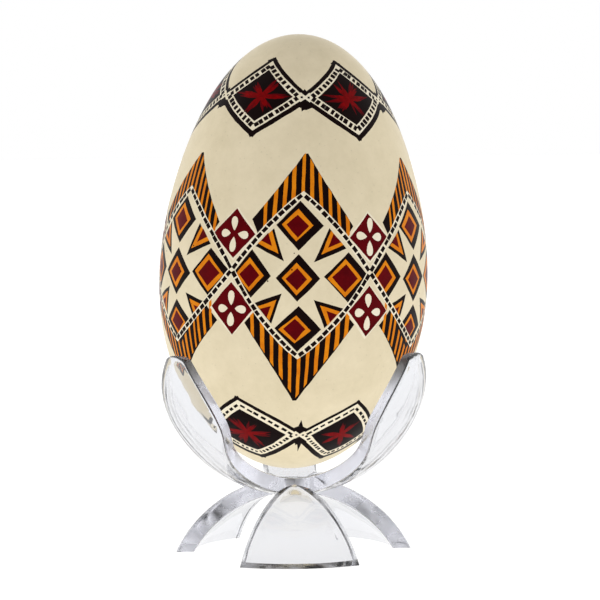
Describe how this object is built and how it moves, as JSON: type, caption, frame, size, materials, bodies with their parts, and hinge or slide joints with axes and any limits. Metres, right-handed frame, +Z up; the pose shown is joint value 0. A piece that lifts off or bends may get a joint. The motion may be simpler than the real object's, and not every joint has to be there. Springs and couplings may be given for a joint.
{
  "type": "decorated egg",
  "caption": "Hollow goose egg with a wax-resist dyed folk pattern, standing blunt end down in a clear plastic stand with arched prongs and legs.",
  "frame": {"origin": "on the surface the stand rests on, under the stand's vertical axis", "axes": "+Z up along the stand's axis; -Y towards the leg at the front, so prongs point to +Y and to the front left and front right; the egg leans 2.3 degrees to +X"},
  "size_m": [0.0558, 0.0565, 0.1077],
  "materials": {
    "eggshell": "dyed in black, orange and dark red on cream, satin varnish",
    "membrane": "dry papery skin",
    "clear_plastic": "clear, glossy, injection moulded"
  },
  "bodies": {
    "stand": {"egg_stand": "clear_plastic"},
    "egg": {"egg_shell": "eggshell", "shell_membrane": "membrane"}
  },
  "joints": [
    {"name": "egg_lift", "type": "slide", "parent": "stand", "child": "egg", "axis": [0, 0, 1], "range_m": [0, 0.035]}
  ]
}
